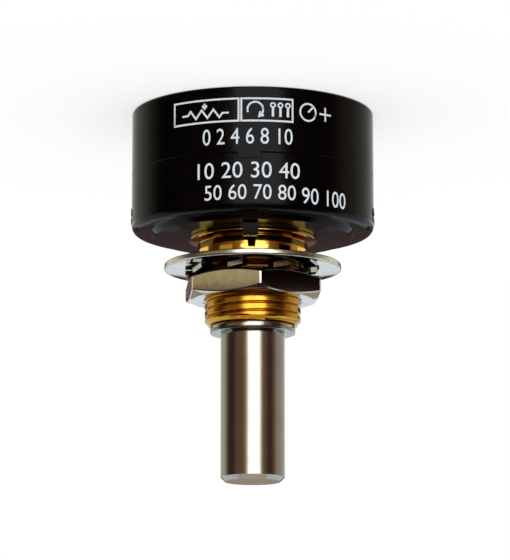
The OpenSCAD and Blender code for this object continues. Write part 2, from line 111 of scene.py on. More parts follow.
class BushingSizes(bpy.types.PropertyGroup):
    """Sizes of the turned bushing and its thread."""

    thread_r: length("Thread radius", "Outside radius of the thread", 4.5 * MM)
    pitch: length("Thread pitch", "Distance from one crest to the next", 0.75 * MM)
    depth: length("Thread depth", "From the crest to the root", 0.3 * MM)
    chamfer: length("Nose chamfer", "Width of the chamfer that ends the thread", 0.4 * MM)
    shoulder_r: length("Shoulder radius", "Outside radius of the shoulder", 5.2 * MM)
    shoulder_t: length("Shoulder thickness", "From the neck to the panel seat", 1.9 * MM)
    neck_r: length("Neck radius", "Radius of the neck through the front wall", 4.05 * MM)
    neck_l: length("Neck length", "Neck that shows between the flange and the shoulder", 0.3 * MM)
    flange_r: length("Flange radius", "Radius of the flange that lies on the boss", 6 * MM)
    flange_t: length("Flange thickness", "Thickness of the flange", 0.3 * MM)
    collar_r: length("Collar radius", "Radius of the collar inside the case", 4.9 * MM)
    collar_t: length("Collar thickness", "Thickness of the collar inside the case", 0.6 * MM)
    bore_r: length("Bore radius", "Radius of the bore round the shaft", 3.03 * MM)
    lead: length("Bore chamfer", "Chamfer at the mouth of the bore", 0.25 * MM)
    soft: length("Edge radius", "Small radius left by deburring", 0.06 * MM)


class WasherSizes(bpy.types.PropertyGroup):
    """Sizes of the punched flat washer."""

    inner_r: length("Hole radius", "Radius of the washer's hole", 4.65 * MM)
    roll: length("Rolled edge", "Radius that the punch rolls on one side", 0.16 * MM)
    burr: length("Sharp edge", "Radius on the other side", 0.05 * MM)
    ring_r: length("Lock ring", "Radius at which the teeth of the lock washer start", 6 * MM)


class EdgeSizes(bpy.types.PropertyGroup):
    """Widths of the broken edges."""

    ring: length("Ring", "Rounding of the outer retaining ring", 0.05 * MM)
    lock: length("Lock washer", "Rounding of the lock washer and its teeth", 0.03 * MM)
    nut: length("Nut", "Chamfer along the edges of the nut", 0.075 * MM)
    lug: length("Solder lug", "Rounding of the solder lugs", 0.04 * MM)


class PrintSizes(bpy.types.PropertyGroup):
    """Sizes of the scale that is printed on the case."""

    ink: length("Ink thickness", "How far the ink stands on the case", 0.012 * MM)
    stroke: length("Line width", "Width of the drawn lines", 0.17 * MM)
    facet: length("Facet", "Widest flat step of ink round the case", 0.25 * MM)


class CaseFinish(bpy.types.PropertyGroup):
    """Moulded black case and its printing."""

    black: colour("Black", "Colour of the moulding", (0.0004, 0.0003, 0.0003))
    haze: colour("Haze", "Colour where the moulding is a little dull", (0.0016, 0.0009, 0.0011))
    gloss: share("Roughness", "Roughness of the moulded skin", 0.09)
    matt: share("Front roughness", "Roughness of the front, which the mould leaves dull", 0.16)
    index: FloatProperty(name="Index", description="Refractive index of the moulding", default=1.2)
    ink: colour("Ink", "Colour of the printing", (0.72, 0.79, 0.84))


class MetalFinish(bpy.types.PropertyGroup):
    """Colours and roughness of the metal pieces."""

    brass: colour("Brass", "Turned brass", (0.80, 0.46, 0.075))
    thread: colour("Thread", "Brass of the cut thread, duller than the rest", (0.68, 0.35, 0.04))
    steel: colour("Steel", "Ground stainless steel", (0.45, 0.425, 0.38))
    spring: colour("Spring steel", "Hardened spring steel", (0.42, 0.39, 0.34))
    nickel: colour("Nickel", "Bright nickel plate", (0.68, 0.64, 0.57))
    sheared: colour("Sheared edge", "Torn edge that the punch leaves on the washer", (0.74, 0.71, 0.58))
    hardened: colour("Hardened steel", "Teeth of the lock washer", (0.62, 0.58, 0.50))
    # Dark brown that the ring of the lock washer takes, inside the radius where its teeth start
    ring_brown: colour("Oiled steel", "Brown oil left on the ring of the lock washer", (0.14, 0.055, 0.012))
    # Painted shade: the dark tone that the nut's downward faces take next to the lock washer, where
    # shade falls
    painted_shade: colour("Shaded edge", "Oily side of the nut, next to the lock washer", (0.06, 0.045, 0.04))
    gold: colour("Gold", "Gold plate on the terminals", (0.88, 0.62, 0.22))


class InsideFinish(bpy.types.PropertyGroup):
    """Colours of the pieces inside the case."""

    board: colour("Board", "Laminate of the element board", (0.30, 0.16, 0.07))
    track: colour("Track", "Conductive-plastic print", (0.02, 0.02, 0.02))
    silver: colour("Silver", "Silver print of the leads and the collector", (0.66, 0.65, 0.62))
    hub: colour("Hub", "Nylon of the rotor's hub", (0.05, 0.05, 0.055))
    alloy: colour("Contact alloy", "Pale alloy of the wiper and its brushes", (0.72, 0.66, 0.50))


class StudioSettings(bpy.types.PropertyGroup):
    """Camera, lamp and surroundings."""

    distance: length("Distance", "From the camera to its target", 300 * MM)
    lens: FloatProperty(
        name="Lens", description="Focal length on a 36 mm sensor", default=205.4, unit="CAMERA"
    )
    rise: angle("Elevation", "How far the camera stands above the level", 10.5)
    swing: angle("Azimuth", "From the printed side towards terminal 1", 1.45)
    roll: angle("Roll", "The picture shows the part with its shaft down", 180)
    aim: FloatVectorProperty(
        name="Target",
        description="Point in the middle of the picture",
        default=(-0.216 * MM, 0, 15.95 * MM),
        unit="LENGTH",
        subtype="TRANSLATION",
        size=3,
    )
    floor_r: length("Floor", "Radius of the floor", 1.6)
    floor_gap: length("Floor gap", "From the rear face down to the floor", 0.02 * MM)
    card_r: length("Cards", "How far from the axis the round of cards stands", 64 * MM)
    back_y: length("Back cards", "How far behind the axis the grey cards stand", 14 * MM)
    back_in: length("Back cards, inner end", "From the middle to a grey card", 4.5 * MM)
    back_out: length("Back cards, outer end", "From the middle to a grey card's far end", 18 * MM)
    pale: colour("Back", "What bright metal sees behind the part, above the ramp", (0.80, 0.90, 0.97))
    dark: colour("Front", "What it sees over the camera, above the ramp", (0.03, 0.025, 0.022))
    zenith: colour("Top", "What it sees straight above", (0.7, 0.63, 0.54))
    plain: share("Plain light", "Strength of the even light on dull surfaces", 0.86, 2.0)
    sun: share("Soft sun", "Strength of the broad light from above the camera", 0.62, 5.0)
    sun_angle: angle("Sun's width", "How broad the soft sun looks", 50)
    sun_place: FloatVectorProperty(
        name="Sun's side",
        description="Place that the soft sun shines from",
        default=(-60 * MM, -230 * MM, 330 * MM),
        unit="LENGTH",
        subtype="TRANSLATION",
        size=3,
    )
    paper: share("Paper", "How much of the floor shines by itself to the camera", 0.6)


# Surroundings that bright metal mirrors, as a ramp round the part from the camera's own direction.
# Each entry is an angle in degrees, to the right in the picture, and a colour in linear light.
SURROUNDINGS = [
    (-180, (0.80, 0.82, 0.80)),
    (-150, (0.60, 0.60, 0.55)),
    (-122, (0.62, 0.58, 0.46)),
    (-101, (0.13, 0.11, 0.09)),
    (-90, (0.05, 0.032, 0.027)),
    (-72, (0.075, 0.042, 0.034)),
    (-59, (0.19, 0.11, 0.082)),
    (-37, (0.20, 0.12, 0.07)),
    (-27, (0.34, 0.25, 0.15)),
    (-20, (0.9, 0.8, 0.6)),
    (-15, (2.45, 2.45, 2.5)),
    (4, (2.55, 2.6, 2.75)),
    (24, (2.55, 2.58, 2.65)),
    (30, (0.9, 0.82, 0.62)),
    (37, (0.24, 0.16, 0.11)),
    (47, (0.19, 0.115, 0.09)),
    (60, (0.075, 0.035, 0.027)),
    (72, (0.10, 0.055, 0.04)),
    (84, (0.22, 0.14, 0.11)),
    (95, (0.42, 0.36, 0.28)),
    (145, (0.6, 0.6, 0.56)),
    (180, (0.80, 0.82, 0.80)),
]

# Cards round the part, which only bright surfaces see: between which angles and heights each one
# stands, in degrees as above and in millimetres, and its colour.
CARDS = {
    "paper_left_low": ((-168, -103), (0, 4.3), (1.2, 1.12, 0.95)),
    "paper_left_high": ((-168, -103), (4.3, 9), (0.72, 0.68, 0.58)),
    "paper_right_low": ((103, 168), (0, 4.3), (1.2, 1.15, 1.0)),
    "paper_right_high": ((103, 168), (4.3, 9), (0.72, 0.68, 0.58)),
    "khaki_left": ((-70, -41), (1, 6.6), (0.51, 0.44, 0.24)),
    "black_right": ((54, 82), (0, 7.3), (0.0, 0.0, 0.0)),
    "black_middle": ((-5.5, 0.6), (1.4, 3.6), (0.0, 0.0, 0.0)),
    "black_line": ((2.6, 4.2), (6, 9.2), (0.2, 0.18, 0.16)),
    "grey_back": ((155, 205), (34, 60), (0.38, 0.31, 0.25)),
    "lamp_left": ((-23, -5.5), (2.1, 4.9), (8.0, 7.8, 7.6)),
    "lamp_right": ((0.6, 30), (2.1, 4.9), (8.0, 7.8, 7.6)),
}

# Grey cards close behind the bushing, which the boss mirrors: painted shade, dark sheets that stand for
# the shade behind the part. Between which heights each one stands, in millimetres, and its colour.
# There is one of each on both sides.
BACK_CARDS = {
    "low": ((9.5, 15.1), (0.16, 0.105, 0.105)),
    "high": ((15.1, 16.8), (0.05, 0.035, 0.038)),
}

# Signs above the figures, in millimetres: the lower and upper edge of their row, from the rear face,
# then the two ends of the framed ones and the middle and reach of the plain ones, from the middle of
# the print and to the right in the picture.
SIGN_EDGES = (-3.28, -1.2)
RESISTOR = (-7.45, -1.0)
WINDOW = (-0.75, 4.0)
KNOB = (5.55, 0.8)
CROSS = (7.4, 0.65)

# Figures on the case: the text, its two ends and its lower and upper edge in millimetres, in the
# picture's sense from the middle of the print and from the rear face.
FIGURES = [
    ("0 2 4 6 8 10", (-4.4, 4.0), (-5.45, -3.95)),
    ("10 20 30 40", (-4.9, 4.7), (-8.6, -7.1)),
    ("50 60 70 80", (-4.2, 4.3), (-10.6, -9.2)),
    ("90 100", (4.9, 9.9), (-10.8, -9.3)),
]


def in_metres(*values):
    """Millimetres as metres."""
    return [value * MM for value in values]


def connect(tree, source, target):
    """Join an output to an input."""
    tree.links.new(source, target)


def node(tree, kind, inputs=None, **settings):
    """A new node with its inputs and settings filled in."""
    made = tree.nodes.new("ShaderNode" + kind)
    for key, value in settings.items():
        setattr(made, key, value)
    for key, value in (inputs or {}).items():
        made.inputs[key].default_value = value
    return made


def new_finish(name, base, roughness, metallic=0.0, **others):
    """A material with one Principled shader, and its plain values set on the shader's own sockets."""
    made = bpy.data.materials.new(name)
    made.use_nodes = True
    made.diffuse_color = (*base, 1)
    shader = made.node_tree.nodes["Principled BSDF"]
    shader.inputs["Base Color"].default_value = (*base, 1)
    shader.inputs["Roughness"].default_value = roughness
    shader.inputs["Metallic"].default_value = metallic
    for key, value in others.items():
        shader.inputs[key.replace("_", " ")].default_value = value
    return made, made.node_tree, shader


def surface_place(tree):
    """The place on the piece, in metres."""
    return node(tree, "TexCoord").outputs["Object"]


def facing_up(tree):
    """How far a surface faces up, from one on top of a piece to minus one below it."""
    split = node(tree, "SeparateXYZ")
    connect(tree, node(tree, "TexCoord").outputs["Normal"], split.inputs[0])
    return split.outputs["Z"]


def off_axis(tree, place):
    """How far a place is from the part's axis."""
    flat = node(tree, "VectorMath", {1: (1, 1, 0)}, operation="MULTIPLY")
    connect(tree, place, flat.inputs[0])
    radius = node(tree, "VectorMath", operation="LENGTH")
    connect(tree, flat.outputs["Vector"], radius.inputs[0])
    return radius.outputs["Value"]


def lathe_place(tree, drift=0.0004):
    """The place as a tool sees turned work: its radius, a slow drift round it, and its height."""
    spot = surface_place(tree)
    split = node(tree, "SeparateXYZ")
    connect(tree, spot, split.inputs[0])
    around = node(tree, "Math", operation="ARCTAN2")
    connect(tree, split.outputs["Y"], around.inputs[0])
    connect(tree, split.outputs["X"], around.inputs[1])
    slow = node(tree, "Math", {1: drift}, operation="MULTIPLY")
    connect(tree, around.outputs[0], slow.inputs[0])
    place = node(tree, "CombineXYZ")
    connect(tree, off_axis(tree, spot), place.inputs["X"])
    connect(tree, slow.outputs[0], place.inputs["Y"])
    connect(tree, split.outputs["Z"], place.inputs["Z"])
    return place.outputs[0]


def noise(tree, place, size, detail=2.0, roughness=0.5):
    """Noise whose patches are about as wide as the size given, in metres."""
    made = node(tree, "TexNoise", {"Scale": 1 / size, "Detail": detail, "Roughness": roughness})
    connect(tree, place, made.inputs["Vector"])
    return made.outputs[0]


def between(tree, value, low, high, start=0.3, end=0.7):
    """Stretch part of a value's range, such as the middle of a noise, to the range given."""
    made = node(tree, "MapRange", {"From Min": start, "From Max": end, "To Min": low, "To Max": high})
    connect(tree, value, made.inputs["Value"])
    return made.outputs["Result"]


def tones(tree, value, dark, light, start=0.35, end=0.65):
    """Two tones, mixed by a value such as a noise."""
    ramp = node(tree, "ValToRGB")
    ramp.color_ramp.elements[0].position = start
    ramp.color_ramp.elements[0].color = (*dark, 1)
    ramp.color_ramp.elements[1].position = end
    ramp.color_ramp.elements[1].color = (*light, 1)
    connect(tree, value, ramp.inputs["Fac"])
    return ramp.outputs["Color"]


def relief(tree, value, depth, under=None):
    """A bump as deep as the depth given, in metres, on top of another where one is given."""
    made = node(tree, "Bump", {"Strength": 1.0, "Distance": depth})
    connect(tree, value, made.inputs["Height"])
    if under:
        connect(tree, under, made.inputs["Normal"])
    return made.outputs["Normal"]


def darker(tone, by):
    """The same colour with less light."""
    return tuple(part * by for part in tone)


def case_plastic(settings):
    """Glossy black moulding with a fine skin, a few dull patches and a dull front."""
    made, tree, shader = new_finish("case_moulding", settings.black, settings.gloss, IOR=settings.index)
    place = surface_place(tree)
    patches = noise(tree, place, 1.4 * MM, 4.0)
    skin = noise(tree, place, 0.16 * MM, 3.0)
    connect(tree, tones(tree, patches, settings.black, settings.haze), shader.inputs["Base Color"])
    gloss = between(tree, skin, settings.gloss * 0.75, settings.gloss * 1.5)
    # Only what faces the tip is dull
    front = node(tree, "MapRange", {"From Min": 0.9, "From Max": 0.99, "To Max": settings.matt})
    connect(tree, facing_up(tree), front.inputs["Value"])
    duller = node(tree, "Math", operation="MAXIMUM")
    connect(tree, gloss, duller.inputs[0])
    connect(tree, front.outputs["Result"], duller.inputs[1])
    connect(tree, duller.outputs[0], shader.inputs["Roughness"])
    wave = relief(tree, noise(tree, place, 0.5 * MM, 1.0), 0.0016 * MM)
    connect(tree, relief(tree, skin, 0.0012 * MM, wave), shader.inputs["Normal"])
    return made


def print_ink(settings):
    """Pale ink, a little uneven where the pad laid it down."""
    made, tree, shader = new_finish("pad_print_ink", settings.ink, 0.5)
    place = surface_place(tree)
    cover = noise(tree, place, 0.22 * MM, 3.0)
    tone = tones(tree, cover, darker(settings.ink, 0.82), settings.ink)
    connect(tree, tone, shader.inputs["Base Color"])
    connect(tree, between(tree, cover, 0.6, 0.42), shader.inputs["Roughness"])
    connect(tree, relief(tree, cover, 0.002 * MM), shader.inputs["Normal"])
    return made


def turned_metal(name, tone, roughness, mark, depth, tarnish=0.8):
    """Lathe-turned metal with rings round its axis and a little tarnish."""
    made, tree, shader = new_finish(name, tone, roughness, 1.0)
    rings = noise(tree, lathe_place(tree), mark, 3.0, 0.6)
    stain = noise(tree, surface_place(tree), 1.6 * MM, 3.0)
    connect(tree, tones(tree, stain, darker(tone, tarnish), tone), shader.inputs["Base Color"])
    connect(tree, between(tree, rings, roughness * 0.7, roughness * 1.4), shader.inputs["Roughness"])
    connect(tree, relief(tree, rings, depth), shader.inputs["Normal"])
    return made


def plated_metal(name, tone, roughness, ripple, depth, tarnish=0.86, under=None):
    """Plate over punched or pressed metal, with soft ripples and tiny pits, and painted shade on
    what faces down: a darker tone there, where one is given."""
    made, tree, shader = new_finish(name, tone, roughness, 1.0)
    place = surface_place(tree)
    swell = noise(tree, place, ripple, 2.0)
    pits = noise(tree, place, ripple * 0.12, 2.0)
    stain = noise(tree, place, ripple * 1.6, 4.0)
    base = tones(tree, stain, darker(tone, tarnish), tone)
    # Painted shade: faces that point down take the darker tone given
    if under:
        down = between(tree, facing_up(tree), 1.0, 0.0, -0.45, -0.25)
        base = blend_tones(tree, down, base, under)
    connect(tree, base, shader.inputs["Base Color"])
    connect(tree, between(tree, pits, roughness * 0.7, roughness * 1.5), shader.inputs["Roughness"])
    wave = relief(tree, swell, depth)
    connect(tree, relief(tree, pits, depth * 0.06, wave), shader.inputs["Normal"])
    return made


def lock_washer_steel(metal, sizes):
    """Hardened steel, pale on the teeth and dark brown on the ring inside them."""
    made, tree, shader = new_finish("hardened_steel", metal.hardened, 0.16, 1.0)
    place = surface_place(tree)
    out = between(tree, off_axis(tree, place), 0.0, 1.0, sizes.ring_r, sizes.ring_r + 0.25 * MM)
    smear = noise(tree, place, 0.5 * MM, 4.0)
    connect(tree, tones(tree, out, metal.ring_brown, metal.hardened, 0.1, 0.9), shader.inputs["Base Color"])
    connect(tree, between(tree, smear, 0.1, 0.24), shader.inputs["Roughness"])
    connect(tree, relief(tree, smear, 0.004 * MM), shader.inputs["Normal"])
    return made


def dull_finish(name, tone, roughness, grain, depth, metallic=0.0):
    """Print, laminate or nylon: a dull surface with a fine grain."""
    made, tree, shader = new_finish(name, tone, roughness, metallic)
    speck = noise(tree, surface_place(tree), grain, 4.0)
    connect(tree, tones(tree, speck, darker(tone, 0.75), tone), shader.inputs["Base Color"])
    rough = between(tree, speck, roughness * 0.85, min(1.0, roughness * 1.15))
    connect(tree, rough, shader.inputs["Roughness"])
    connect(tree, relief(tree, speck, depth), shader.inputs["Normal"])
    return made


def soften(points, radius, steps=3):
    """Round the corners of an outline of (radius, height) points, apart from its two ends."""
    made = [points[0]]
    for before, corner, after in zip(points, points[1:], points[2:]):
        here, back, on = Vector(corner), Vector(before), Vector(after)
        # A corner takes less than half of each edge beside it
        reach = min(radius, (back - here).length / 2.2, (on - here).length / 2.2)
        start = here + (back - here).normalized() * reach
        end = here + (on - here).normalized() * reach
        for step in range(steps + 1):
            t = step / steps
            made.append(tuple((1 - t) ** 2 * start + 2 * t * (1 - t) * here + t * t * end))
    made.append(points[-1])
    return made


def skin(bm, rows, count, partner=None):
    """Skin rows round the axis. Each row gives a radius and a height for an angle, and partner says
    which row of the first column each row of the last one meets."""
    columns = []
    for j in range(count):
        turn = 2 * math.pi * j / count
        column = []
        for row in rows:
            radius, height = row(turn)
            side = Vector((math.cos(turn), math.sin(turn), 0)) * radius
            column.append(bm.verts.new(side + Vector((0, 0, height))))
        columns.append(column)
    meets = partner or (lambda k: k)
    for j in range(count):
        here, there = columns[j], columns[(j + 1) % count]
        seam = j == count - 1
        for k in range(len(rows) - 1):
            low, high = (meets(k), meets(k + 1)) if seam else (k, k + 1)
            corners = [here[k], there[low], there[high], here[k + 1]]
            if low == high:
                corners.remove(there[high])
            bm.faces.new(corners)


def fixed_rows(points):
    """Rows that keep their radius and height all round."""
    return [lambda turn, p=point: p for point in points]


def make_piece(name, bm, body, finish, nodes=(), sharp=35):
    """Turn a bmesh into a smooth-shaded piece that rides on a body and stands for the nodes given."""
    bmesh.ops.remove_doubles(bm, verts=bm.verts, dist=WELD_GAP)
    bmesh.ops.dissolve_degenerate(bm, edges=bm.edges, dist=1e-8)
    bmesh.ops.recalc_face_normals(bm, faces=bm.faces)
    mesh = bpy.data.meshes.new(name)
    bm.to_mesh(mesh)
    bm.free()
    mesh.shade_smooth()
    mesh.set_sharp_from_angle(angle=math.radians(sharp))
    mesh.materials.append(finish)
    piece = bpy.data.objects.new(name, mesh)
    bpy.context.collection.objects.link(piece)
    if nodes:
        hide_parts(*nodes)
    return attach(piece, body)


def coat(finish, *names):
    """Give CAD nodes a finish."""
    for name in names:
        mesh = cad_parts[name].data
        mesh.materials.clear()
        mesh.materials.append(finish)


def break_edges(name, width, limit=35, flat=False):
    """Weld a CAD node's mesh and break its sharp edges, rounded or as flat chamfers."""
    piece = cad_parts[name]
    weld = piece.modifiers.new("weld", "WELD")
    weld.merge_threshold = 1e-6
    bevel = piece.modifiers.new("broken_edges", "BEVEL")
    bevel.width = width
    bevel.segments = 1 if flat else 2
    bevel.limit_method = "ANGLE"
    bevel.angle_limit = math.radians(limit)
    bevel.harden_normals = not flat
    bevel.use_clamp_overlap = not flat
    if flat:
        # Narrow chamfers catch the light only where their own edges are split too
        split = piece.modifiers.new("flat_chamfers", "EDGE_SPLIT")
        split.split_angle = math.radians(15)


def thread_rows(sizes, low, high):
    """Rows of a screw thread between two heights, chamfered at the top, and how many make a turn."""
    # Each row's place in the pitch and its share of the depth, from a root over the wide crest
    crest = [(0.21 + 0.58 * i / 6, 0.0) for i in range(7)]
    section = [(0.0, 1.0), (0.05, 0.92), (0.17, 0.1)] + crest + [(0.83, 0.1), (0.95, 0.92)]
    root = sizes.thread_r - sizes.depth
    turns = math.ceil((high - low) / sizes.pitch)
    per_turn = len(section)

    def row(index):
        cycle, place = divmod(index, per_turn)
        part, depth = section[place]

        def shape(turn):
            height = low + sizes.pitch * (cycle + part + turn / (2 * math.pi))
            if height <= low or height >= high:
                return root, min(max(height, low), high)
            limit = sizes.thread_r - max(0.0, height - (high - sizes.chamfer))
            return min(sizes.thread_r - depth * sizes.depth, limit), height

        return shape

    # One turn more at each end, which the two heights then cut off
    return [row(index) for index in range(-per_turn, (turns + 1) * per_turn)], per_turn


class POT_OT_case(bpy.types.Operator):
    """Finish the two mouldings of the case"""

    bl_idname = "pot.case"
    bl_label = "Case"

    def execute(self, context):
        coat(case_plastic(context.scene.pot_case), "rear_case", "front_case")
        return {"FINISHED"}


class POT_OT_bushing(bpy.types.Operator):
    """Turn the bushing, cut its thread and finish the other brass pieces"""

    bl_idname = "pot.bushing"
    bl_label = "Bushing"

    def execute(self, context):
        sizes = context.scene.pot_bushing
        metal = context.scene.pot_metal
        low, high = BUSHING_Z
        root = sizes.thread_r - sizes.depth
        shoulder_z = SEAT_Z - sizes.shoulder_t
        flange_z = shoulder_z - sizes.neck_l
        boss_z = flange_z - sizes.flange_t
        collar_z = low + sizes.collar_t
        inner = soften(
            [
                (sizes.bore_r, low),
                (sizes.collar_r, low),
                (sizes.collar_r, collar_z),
                (sizes.neck_r, collar_z),
                (sizes.neck_r, boss_z),
                (sizes.flange_r, boss_z),
                (sizes.flange_r, flange_z),
                (sizes.neck_r, flange_z),
                (sizes.neck_r, shoulder_z),
                (sizes.shoulder_r, shoulder_z),
                (sizes.shoulder_r, SEAT_Z),
                (root, SEAT_Z),
            ],
            sizes.soft,
        )
        nose = [
            (root, high),
            (sizes.bore_r + sizes.lead, high),
            (sizes.bore_r, high - sizes.lead),
            (sizes.bore_r, low),
        ]
        thread, per_turn = thread_rows(sizes, SEAT_Z, high)
        first = len(inner)
        last = first + len(thread) - 1

        def partner(k):
            return min(k + per_turn, last) if first <= k <= last else k

        bm = bmesh.new()
        skin(bm, fixed_rows(inner) + thread + fixed_rows(nose), BUSHING_STEPS, partner=partner)
        brass = turned_metal(
            "turned_brass", metal.brass, roughness=0.07, mark=0.07 * MM, depth=0.0006 * MM, tarnish=0.82
        )
        cut = turned_metal(
            "cut_thread", metal.thread, roughness=0.2, mark=0.05 * MM, depth=0.0004 * MM
        )
        bushing = make_piece("threaded_bushing", bm, "case", brass, ["bushing"], 28)
        bushing.data.materials.append(cut)
        # The cut thread has its own, duller finish
        for face in bushing.data.polygons:
            place = face.center
            if place.z > SEAT_Z and root - sizes.soft < place.xy.length < sizes.thread_r + sizes.soft:
                face.material_index = 1
        coat(brass, "thrust_washer", "terminal_rivets")
        return {"FINISHED"}


class POT_OT_shaft(bpy.types.Operator):
    """Finish the ground shaft, its rings and its spring"""

    bl_idname = "pot.shaft"
    bl_label = "Shaft"

    def execute(self, context):
        metal = context.scene.pot_metal
        steel = turned_metal(
            "ground_steel", metal.steel, roughness=0.12, mark=0.035 * MM, depth=0.0004 * MM, tarnish=0.92
        )
        coat(steel, "shaft")
        ring = plated_metal(
            "spring_steel", metal.spring, roughness=0.14, ripple=0.8 * MM, depth=0.003 * MM
        )
        coat(ring, "outer_ring", "inner_ring", "wave_washer")
        break_edges("outer_ring", context.scene.pot_edges.ring)
        return {"FINISHED"}


class POT_OT_hardware(bpy.types.Operator):
    """Punch the flat washer and finish the lock washer and the nut"""

    bl_idname = "pot.hardware"
    bl_label = "Mounting hardware"

    def execute(self, context):
        sizes = context.scene.pot_washer
        metal = context.scene.pot_metal
        edges = context.scene.pot_edges
        nickel = plated_metal(
            "nickel_plate", metal.nickel, roughness=0.07, ripple=1.2 * MM, depth=0.003 * MM
        )
        torn = plated_metal(
            "sheared_edge", metal.sheared, roughness=0.24, ripple=0.5 * MM, depth=0.006 * MM, tarnish=0.7
        )
        nut = plated_metal(
            "nut_plate",
            metal.nickel,
            roughness=0.08,
            ripple=0.5 * MM,
            depth=0.001 * MM,
            under=metal.painted_shade,
        )
        section = [
            (sizes.inner_r, SEAT_Z + sizes.burr),
            (sizes.inner_r, SEAT_Z),
            (WASHER_R, SEAT_Z),
            (WASHER_R, WASHER_TOP),
            (sizes.inner_r, WASHER_TOP),
            (sizes.inner_r, SEAT_Z + sizes.burr),
        ]
        bm = bmesh.new()
        skin(bm, fixed_rows(soften(section, sizes.roll, 4)), WASHER_STEPS)
        washer = make_piece("punched_washer", bm, "case", nickel, ["flat_washer"])
        washer.data.materials.append(torn)
        # The punch tears the rim
        for face in washer.data.polygons:
            if face.center.xy.length > WASHER_R - 0.6 * sizes.roll:
                face.material_index = 1
        coat(lock_washer_steel(metal, sizes), "lock_washer")
        coat(nut, "hex_nut")
        break_edges("lock_washer", edges.lock)
        break_edges("hex_nut", edges.nut, limit=20, flat=True)
        return {"FINISHED"}


class POT_OT_terminals(bpy.types.Operator):
    """Plate the three solder lugs"""

    bl_idname = "pot.terminals"
    bl_label = "Terminals"

    def execute(self, context):
        tone = context.scene.pot_metal.gold
        gold = plated_metal("gold_plate", tone, roughness=0.2, ripple=0.7 * MM, depth=0.004 * MM)
        for name in ("terminal_1", "terminal_2", "terminal_3"):
            coat(gold, name)
            break_edges(name, context.scene.pot_edges.lug)
        return {"FINISHED"}


class POT_OT_element(bpy.types.Operator):
    """Finish the element board, its prints and the rotor inside the case"""

    bl_idname = "pot.element"
    bl_label = "Element and rotor"

    def execute(self, context):
        inside = context.scene.pot_inside
        board = dull_finish(
            "board_laminate", inside.board, roughness=0.5, grain=0.3 * MM, depth=0.004 * MM
        )
        track = dull_finish(
            "resistive_print", inside.track, roughness=0.35, grain=0.08 * MM, depth=0.001 * MM
        )
        silver = dull_finish(
            "silver_print", inside.silver, roughness=0.4, grain=0.1 * MM, depth=0.002 * MM, metallic=1.0
        )
        nylon = dull_finish("hub_nylon", inside.hub, roughness=0.45, grain=0.4 * MM, depth=0.004 * MM)
        contact = plated_metal(
            "contact_alloy", inside.alloy, roughness=0.18, ripple=0.6 * MM, depth=0.003 * MM
        )
        coat(board, "element_board")
        coat(track, "resistance_track")
        coat(silver, "collector_track", "end_pad_1", "end_pad_3")
        coat(nylon, "rotor_hub")
        coat(contact, "wiper_carrier", "track_brush", "collector_brush")
        return {"FINISHED"}


class InkSheet:
    """Flat artwork in the picture's sense, x right and y up, that is then wrapped on the case."""

    def __init__(self, sizes):
        self.sizes = sizes
        self.bm = bmesh.new()

    def area(self, points):
        """One flat area of ink, as a closed form with a front, a back and sides."""
        depth = self.sizes.ink
        back = [self.bm.verts.new((x, y, -depth)) for x, y in points]
        front = [self.bm.verts.new((x, y, depth)) for x, y in points]
        self.bm.faces.new(front)
        self.bm.faces.new(list(reversed(back)))
        for i in range(len(points)):
            j = (i + 1) % len(points)
            self.bm.faces.new([back[i], back[j], front[j], front[i]])

    def line(self, points, closed=False, width=None):
        """A drawn line with mitred corners."""
        half = (width or self.sizes.stroke) / 2
        spots = [Vector(point) for point in points]
        count = len(spots)
        sides = []
        for i, spot in enumerate(spots):
            back = spots[i - 1] if closed or i else None
            on = spots[(i + 1) % count] if closed or i < count - 1 else None
            before = (spot - back).normalized() if back else (on - spot).normalized()
            after = (on - spot).normalized() if on else before
            along = (before + after).normalized()
            across = Vector((-along.y, along.x))
            # A sharp corner's mitre would run far out, so it is held back
            reach = half / max(0.35, math.sqrt((1 + before.dot(after)) / 2))
            sides.append((spot + across * reach, spot - across * reach))
        pairs = list(zip(sides, sides[1:]))
        if closed:
            pairs.append((sides[-1], sides[0]))
        for (a, b), (c, d) in pairs:
            self.area([tuple(b), tuple(d), tuple(c), tuple(a)])

    def arc(self, centre, radius, start, end, width=None):
        """A drawn arc between two angles in degrees."""
        steps = max(6, int(abs(end - start) / 12))
        points = []
        for i in range(steps + 1):
            at = math.radians(start + (end - start) * i / steps)
            points.append((centre[0] + radius * math.cos(at), centre[1] + radius * math.sin(at)))
        self.line(points, width=width)

    def number(self, words, left, right, low, high):
        """Plain figures, fitted between four edges."""
        curve = bpy.data.curves.new("figures", "FONT")
        curve.body = words
        curve.extrude = self.sizes.ink
        curve.resolution_u = 4
        shape = bpy.data.objects.new("figures", curve)
        bpy.context.collection.objects.link(shape)
        bpy.context.view_layer.update()
        mesh = bpy.data.meshes.new_from_object(shape)
        xs = [v.co.x for v in mesh.vertices]
        ys = [v.co.y for v in mesh.vertices]
        wide = (right - left) / (max(xs) - min(xs))
        tall = (high - low) / (max(ys) - min(ys))
        move = Matrix.Translation((left - min(xs) * wide, low - min(ys) * tall, 0))
        mesh.transform(move @ Matrix.Diagonal((wide, tall, 1, 1)))
        self.bm.from_mesh(mesh)
        bpy.data.objects.remove(shape)
        bpy.data.curves.remove(curve)
        bpy.data.meshes.remove(mesh)

    def wrap(self, radius):
        """Cut the artwork into narrow steps and lay it round the case, on the side of the lug."""
        step = self.sizes.facet
        bmesh.ops.remove_doubles(self.bm, verts=self.bm.verts, dist=WELD_GAP)
        xs = [v.co.x for v in self.bm.verts]
        first, last = math.ceil(min(xs) / step), math.floor(max(xs) / step)
        for i in range(first, last + 1):
            geometry = self.bm.verts[:] + self.bm.edges[:] + self.bm.faces[:]
            place = (i * step, 0, 0)
            bmesh.ops.bisect_plane(self.bm, geom=geometry, plane_co=place, plane_no=(1, 0, 0))
        for v in self.bm.verts:
            at = math.radians(-90) - v.co.x / radius
            reach = radius + v.co.z
            v.co = Vector((reach * math.cos(at), reach * math.sin(at), -v.co.y))


